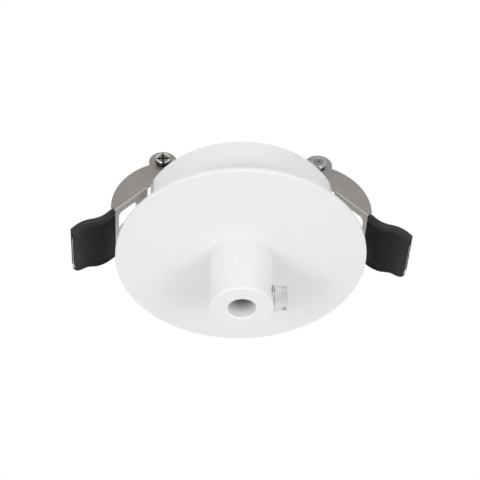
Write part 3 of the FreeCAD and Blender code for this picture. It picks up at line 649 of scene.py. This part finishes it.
def spigot():
    """Rings of the boss's threaded spigot, up its outside and back down the bore."""
    rings = []
    for share in fractions(THREAD_ROWS):
        level = CUT_LEVEL + (SPIGOT_TOP - SPIGOT_LEAD - CUT_LEVEL) * share
        radii = [thread_radius(turn, level) for turn in round_turns(THREAD_STEPS)]
        rings.append(uneven_ring(radii, [level] * THREAD_STEPS))
    inside = [(THREAD_CREST - THREAD_DEPTH - SPIGOT_LEAD, SPIGOT_TOP),
              (BORE + SPIGOT_LEAD, SPIGOT_TOP), (BORE, SPIGOT_TOP - SPIGOT_LEAD),
              (BORE, CUT_LEVEL)]
    return rings + lathe(inside, THREAD_STEPS)


def outlet_boss():
    """The turned boss, cut above the flange's underside and topped by its threaded spigot."""
    piece = refined("outlet_boss", BOSS_EDGE)
    work = bmesh.new()
    work.from_mesh(piece.data)
    everything = list(work.verts) + list(work.edges) + list(work.faces)
    cut = bmesh.ops.bisect_plane(work, geom=everything, plane_co=(0, 0, CUT_LEVEL),
                                 plane_no=(0, 0, 1), clear_outer=True)
    rim = [edge for edge in cut["geom_cut"] if isinstance(edge, bmesh.types.BMEdge)]
    bmesh.ops.triangle_fill(work, edges=rim, use_beauty=True)
    bmesh.ops.recalc_face_normals(work, faces=work.faces)
    add_skin(work, spigot(), loop=True)
    work.to_mesh(piece.data)
    work.free()
    shade(piece, SOFT_ANGLE)
    return piece


NUT_STEPS = 180
NUT_ROUND_SHARE = 0.985
NUT_LEAD = 0.4 * MM
NUT_BORE = THREAD_CREST + 0.05 * MM
NUT_CHAMFER = math.radians(30)
NUT_SHARP = 18


def boss_nut():
    """Thin hexagon nut with its corners turned off above and below."""
    low_z, high_z = low("boss_nut").z, high("boss_nut").z
    flat = high("boss_nut").y
    round_part = NUT_ROUND_SHARE * flat
    sixth = math.pi / 3
    reach = [flat / math.cos((turn % sixth) - sixth / 2) for turn in round_turns(NUT_STEPS)]
    fall = [math.tan(NUT_CHAMFER) * (radius - round_part) for radius in reach]
    sides = [uneven_ring(reach, [low_z + drop for drop in fall]),
             uneven_ring(reach, [high_z - drop for drop in fall])]
    below = [(NUT_BORE, low_z + NUT_LEAD), (NUT_BORE + NUT_LEAD, low_z), (round_part, low_z)]
    above = [(round_part, high_z), (NUT_BORE + NUT_LEAD, high_z), (NUT_BORE, high_z - NUT_LEAD)]
    rings = lathe(below, NUT_STEPS) + sides + lathe(above, NUT_STEPS)
    return skin("boss_nut_finish", [rings], loop=True, sharp=NUT_SHARP)


# Pivot screws and nuts

SEAT_REACH = 11.7 * MM
HEAD_RADIUS = 2.8 * MM
HEAD_THICK = high("pivot_screw_right").y - SEAT_REACH
HEAD_EDGE = 0.9 * MM
HEAD_RIM = 2.2 * MM
HEAD_DISH = 0.24 * MM
DISH_WALL = 0.35 * MM
SEAT_LEAD = 0.12 * MM
SHANK_RADIUS = 1.5 * MM
SHANK_LEAD = 0.3 * MM
SHANK_LENGTH = SEAT_REACH - low("pivot_screw_right").y
CROSS_REACH = 2.6 * MM
CROSS_HALF = 0.42 * MM
CROSS_DEPTH = 0.85 * MM
CROSS_WALL = 0.16 * MM
CROSS_FLARE = 0.4
CROSS_RISE = 0.66
CROSS_TURN = math.radians(4)
HEAD_STEPS = 176
DISH_ROWS = 40
WALL_ROWS = 8
SHOULDER_ROWS = 12


def cross_depth(across, along):
    """Depth of the cross recess, deepest in the middle and with slightly sloping walls."""
    a = across * math.cos(CROSS_TURN) + along * math.sin(CROSS_TURN)
    b = along * math.cos(CROSS_TURN) - across * math.sin(CROSS_TURN)
    depth = 0.0
    for length, width in ((a, b), (b, a)):
        inside = min(CROSS_HALF - abs(width), CROSS_REACH - abs(length))
        floor = CROSS_DEPTH * (1 - CROSS_RISE * abs(length) / CROSS_REACH)
        depth = max(depth, floor * smooth_step(inside, -CROSS_FLARE * CROSS_WALL, CROSS_WALL))
    return depth


def pan_top():
    """Profile of a slightly dished top with a crisp rim, from its middle to the head's side."""
    flat = HEAD_RIM - DISH_WALL
    dish = [(flat * share, HEAD_THICK - HEAD_DISH) for share in fractions(DISH_ROWS)[:-1]]
    wall = [(flat + DISH_WALL * share, HEAD_THICK - HEAD_DISH * (1 - smooth_step(share, 0, 1)))
            for share in fractions(WALL_ROWS)]
    turns = [math.pi / 2 * share for share in fractions(SHOULDER_ROWS)[1:]]
    shoulder = [(HEAD_RIM + (HEAD_RADIUS - HEAD_RIM) * math.sin(turn),
                 HEAD_THICK - HEAD_EDGE * (1 - math.cos(turn))) for turn in turns]
    return dish + wall + shoulder


def hinge_place(side, end):
    """Places local Z along the hinge's axis, outward from the clip's screw end or its nut end."""
    out = Vector((0, side * end, 0))
    across = Vector((side, 0, 0))
    turn = Matrix((across, out.cross(across), out)).transposed().to_4x4()
    return Matrix.Translation((side * PIVOT.x, side * end * SEAT_REACH, PIVOT.z)) @ turn


def pivot_screw(name, side):
    """Pan-head screw with a cross recess and a plain shank."""
    top = lathe(pan_top(), HEAD_STEPS)
    for ring in top:
        for point in ring:
            point.z -= cross_depth(point.x, point.y)
    seat = [(HEAD_RADIUS, SEAT_LEAD), (HEAD_RADIUS - SEAT_LEAD, 0)]
    shank = [(SHANK_RADIUS, 0), (SHANK_RADIUS, SHANK_LEAD - SHANK_LENGTH),
             (SHANK_RADIUS - SHANK_LEAD, -SHANK_LENGTH), (0, -SHANK_LENGTH)]
    return skin("pivot_screw_%s_finish" % name, [top + lathe(seat + shank, HEAD_STEPS)],
                hinge_place(side, 1), sharp=SOFT_ANGLE)


CAP_STEPS = 96
CAP_ROWS = 12
CAP_FALL = 0.2 * MM
CAP_GAP = 0.02 * MM
CAP_WALL = 1.1 * MM
CAP_SHARP = 34
# Radius and depth of the dimple's points, then inset and height of the foot's
DIMPLE = ((0, 0.85 * MM), (0.3 * MM, 0.8 * MM), (0.46 * MM, 0.4 * MM), (0.54 * MM, 0.05 * MM),
          (0.64 * MM, 0))
FOOT = ((0, 0.3 * MM), (0.15 * MM, 0.22 * MM), (0.15 * MM, 0.1 * MM), (0.05 * MM, 0))


def pivot_nut(name, side):
    """Round domed nut with a small centre dimple."""
    bore, deep = SHANK_RADIUS + CAP_GAP, HEAD_THICK - CAP_WALL
    dimple = [(radius, HEAD_THICK - depth) for radius, depth in DIMPLE]
    first, last = DIMPLE[-1][0], HEAD_RADIUS - HEAD_EDGE
    crown = [(first + (last - first) * share, HEAD_THICK - CAP_FALL * share ** 2)
             for share in fractions(CAP_ROWS)[1:]]
    shoulder = arc(last, HEAD_THICK - CAP_FALL - HEAD_EDGE, HEAD_EDGE, 90, 0, CAP_ROWS)[1:]
    foot = [(HEAD_RADIUS - inset, rise) for inset, rise in FOOT]
    profile = dimple + crown + shoulder + foot + [(bore, 0), (bore, deep), (0, deep)]
    return skin("pivot_nut_%s_finish" % name, [lathe(profile, CAP_STEPS)], hinge_place(side, -1),
                sharp=CAP_SHARP)


# Rivets of the hinge brackets

RIVET_SPREAD = 6.5 * MM
RIVET_HEAD = 0.9 * MM
RIVET_RADIUS = 2.5 * MM
RIVET_SHANK = 1.5 * MM
RIVET_STEPS = 64
RIVET_ROWS = 14


def rivets(name, side):
    """Two rivets with domed heads through the bracket and the cup's wall."""
    near, far = low("bracket_rivets_right"), high("bracket_rivets_right")
    level = (near.z + far.z) / 2
    length = far.x - near.x
    bulge = [(RIVET_RADIUS * math.sin(turn), RIVET_HEAD * math.cos(turn))
             for turn in (math.pi / 2 * share for share in fractions(RIVET_ROWS))]
    outer = [(radius, length - RIVET_HEAD + rise) for radius, rise in bulge]
    inner = [(radius, RIVET_HEAD - rise) for radius, rise in reversed(bulge)]
    profile = outer + [(RIVET_SHANK, length - RIVET_HEAD), (RIVET_SHANK, RIVET_HEAD)] + inner
    shells = []
    for spot in (-RIVET_SPREAD, RIVET_SPREAD):
        turn = Matrix(((0, 0, side, side * near.x), (0, 1, 0, spot), (-1, 0, 0, level),
                       (0, 0, 0, 1)))
        shells.append([[turn @ point for point in ring] for ring in lathe(profile, RIVET_STEPS)])
    return skin("bracket_rivets_%s_finish" % name, shells, sharp=SOFT_ANGLE)


# Sleeves on the blades

WEB_SLOPE = math.radians(46.6)
SLEEVE_START = 30.0 * MM
BLADE_LEVEL = -4.75 * MM
# Length and bend radius of the blade's runs, from the web outward
BLADE_RUNS = ((3.2 * MM, None), (10.2 * MM * math.radians(34), 10.2 * MM),
              (10.0 * MM * math.radians(37.5), -10.0 * MM), (2.2 * MM, None))
BLADE_LENGTH = sum(length for length, radius in BLADE_RUNS)
BLADE_CORNER = 4.5 * MM
BLADE_HALF_WIDTH = 11.1 * MM
CORNER_WALL = {"right": 0.55 * MM, "left": 0.5 * MM}
CORNER_LEAD = 6 * MM
SLEEVE_HALF_WIDTH = high("clip_sleeve_right").y
SLEEVE_REACH = high("clip_sleeve_right").x
SLEEVE_HALF_THICK = 0.88 * MM
EDGE_BEAD = 1.08 * MM
BEAD_RUN = 1.0 * MM
INSIDE_HALF_WIDTH = 11.15 * MM
INSIDE_HALF_THICK = 0.45 * MM
SLEEVE_ROWS = 84
FACE_STEPS = 40
BEAD_STEPS = 16
SLEEVE_SHARP = 60
TIP_REACH = 0.1 * MM
TIP_FALL = 0.5 * MM
TIP_FALL_FROM = 7.0 * MM
OUTER_LEAD = 0.007
INNER_LEAD = 0.006
# Shares of the width and thickness that the ends keep
START_LIP = (0.992, 0.9)
TIP_LIP = (0.99, 0.62)
TIP_MOUTH = (0.995, 0.45)
START_FLARE = 3.5 * MM
TIP_FLARE = 3.0 * MM
NEAR_EDGE = (6 * MM, 12 * MM)
WAIST = 0.015
START_SLIM = 0.06
TIP_SLIM = 0.14
WAVE_HEIGHT = 0.025 * MM
WAVE_ALONG = 2.3 * MM
WAVE_SLANT = 5 * MM
WAVE_ACROSS = 3.1 * MM


def blade_spot(travel):
    """Place and heading of the blade's middle, in the clip's slope, after some travel."""
    along, out, heading = SLEEVE_START, BLADE_LEVEL, 0.0
    for length, radius in BLADE_RUNS:
        step = travel if (length, radius) == BLADE_RUNS[-1] else min(travel, length)
        if radius:
            turned = heading + step / radius
            along += radius * (math.sin(turned) - math.sin(heading))
            out += radius * (math.cos(heading) - math.cos(turned))
            heading = turned
        else:
            along += step * math.cos(heading)
            out += step * math.sin(heading)
        travel -= step
    return along, out, heading


def section(half_width, half_thick, bead):
    """Flattened tube's section: across the blade and out from it, with beaded side edges."""
    flat = half_width - bead
    face = [flat * (1 - 2 * share) for share in fractions(FACE_STEPS)]
    swell = [half_thick + (bead - half_thick) * math.exp(-((flat - abs(spot)) / BEAD_RUN) ** 2)
             for spot in face]
    far_edge = arc(flat, 0.0, bead, -90, 90, BEAD_STEPS)[1:-1]
    near_edge = [(-across, -out) for across, out in far_edge]
    above = list(zip(face, swell))
    below = [(-across, -out) for across, out in above]
    return above + near_edge + below + far_edge


def narrowed(points, shares):
    """A section drawn in across its width and its thickness."""
    return [(across * shares[0], out * shares[1]) for across, out in points]


def sleeve_end(across):
    """How far the sleeve's tip stands out past the blade's tip, across its width."""
    return TIP_REACH - TIP_FALL * smooth_step(across, TIP_FALL_FROM, SLEEVE_HALF_WIDTH)


def far_width(name, travel):
    """Half-width of the far side, where the tube shrinks round the blade's rounded corner."""
    corner = BLADE_CORNER + CORNER_WALL[name]
    bend = BLADE_LENGTH - BLADE_CORNER
    past = max(travel - bend, 0.0)
    rounded = BLADE_HALF_WIDTH - BLADE_CORNER + math.sqrt(max(corner ** 2 - past ** 2, 0.0))
    hug = smooth_step(travel, bend - CORNER_LEAD, bend)
    return SLEEVE_HALF_WIDTH + hug * (rounded - SLEEVE_HALF_WIDTH)


def soft_form(side, travel, across, out):
    """The skin's small changes: a waist between its flared near corners, slim ends and waves."""
    start_flare = 1 - smooth_step(travel, 0.0, START_FLARE)
    tip_flare = smooth_step(travel, BLADE_LENGTH - TIP_FLARE, BLADE_LENGTH)
    nearness = smooth_step(-across, *NEAR_EDGE)
    across *= 1 - WAIST * nearness * (1 - max(start_flare, tip_flare))
    out *= 1 - START_SLIM * nearness * start_flare
    out *= 1 - TIP_SLIM * tip_flare
    ripple = math.sin(travel / WAVE_ALONG + across / WAVE_SLANT)
    wave = ripple * math.sin(across / WAVE_ACROSS + side)
    out += math.copysign(WAVE_HEIGHT, out) * wave * (1 - nearness)
    return across, out


def sleeve_point(name, side, share, across, out, soft):
    """A point of the sleeve's skin or, where it isn't soft, of its inside."""
    travel = share * (BLADE_LENGTH + sleeve_end(across))
    if across > 0:
        across *= far_width(name, travel) / SLEEVE_HALF_WIDTH
    if soft:
        across, out = soft_form(side, travel, across, out)
    along, level, heading = blade_spot(travel)
    along -= out * math.sin(heading)
    level += out * math.cos(heading)
    reach = PIVOT.x + along * math.cos(WEB_SLOPE) + level * math.sin(WEB_SLOPE)
    return Vector((side * min(reach, SLEEVE_REACH), across,
                   PIVOT.z - along * math.sin(WEB_SLOPE) + level * math.cos(WEB_SLOPE)))


def sleeve(name, side):
    """Soft black tube pressed flat over the blade, open at both ends."""
    outside = section(SLEEVE_HALF_WIDTH, SLEEVE_HALF_THICK, EDGE_BEAD)
    inside = section(INSIDE_HALF_WIDTH, INSIDE_HALF_THICK, INSIDE_HALF_THICK)
    shares = fractions(SLEEVE_ROWS)

    def ring(share, points, soft):
        return [sleeve_point(name, side, share, across, out, soft) for across, out in points]

    rings = [ring(0, narrowed(outside, START_LIP), True)]
    rings += [ring(OUTER_LEAD + (1 - 2 * OUTER_LEAD) * share, outside, True) for share in shares]
    rings.append(ring(1, narrowed(outside, TIP_LIP), True))
    rings.append(ring(1, narrowed(inside, TIP_MOUTH), False))
    rings += [ring(INNER_LEAD + (1 - 2 * INNER_LEAD) * share, inside, False)
              for share in reversed(shares)]
    return skin("clip_sleeve_%s_finish" % name, [rings], loop=True, sharp=SLEEVE_SHARP)


# Torsion springs


def torsion_spring(name):
    """The wound spring, copied from its node; it stays where it is and does not turn with the clip."""
    node = "torsion_spring_" + name
    spring = add_object(node + "_finish", nodes[node].data.copy())
    shade(spring, SOFT_ANGLE)
    dress(spring, node, ride=False)
    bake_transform(spring)


# The part

PLAIN_EDGE = 0.08 * MM
EDGES = {"rose_body": 0.12 * MM, "spring_clip_right": 0.05 * MM, "spring_clip_left": 0.05 * MM,
         "cord_grip_screw": 0.1 * MM, "terminal_block": 0.15 * MM}
SHAPED = {"outlet_boss": outlet_boss, "boss_nut": boss_nut}
HINGE_PIECES = {"pivot_screw_": pivot_screw, "pivot_nut_": pivot_nut, "bracket_rivets_": rivets,
                "clip_sleeve_": sleeve}
for name, side in SIDES:
    for stem, shape in HINGE_PIECES.items():
        SHAPED[stem + name] = functools.partial(shape, name, side)
    torsion_spring(name)

for node in NODE_SLOTS:
    if node in SHAPED:
        dress(SHAPED[node](), node)
    elif not node.startswith("torsion_spring"):
        dress(refined(node, EDGES.get(node, PLAIN_EDGE)), node)

add_camera()
add_floor()
add_world()
for lamp in LAMPS:
    add_lamp(*lamp)
for card in CARDS:
    add_card(*card)

scene.view_settings.view_transform = "Standard"
bpy.context.view_layer.update()
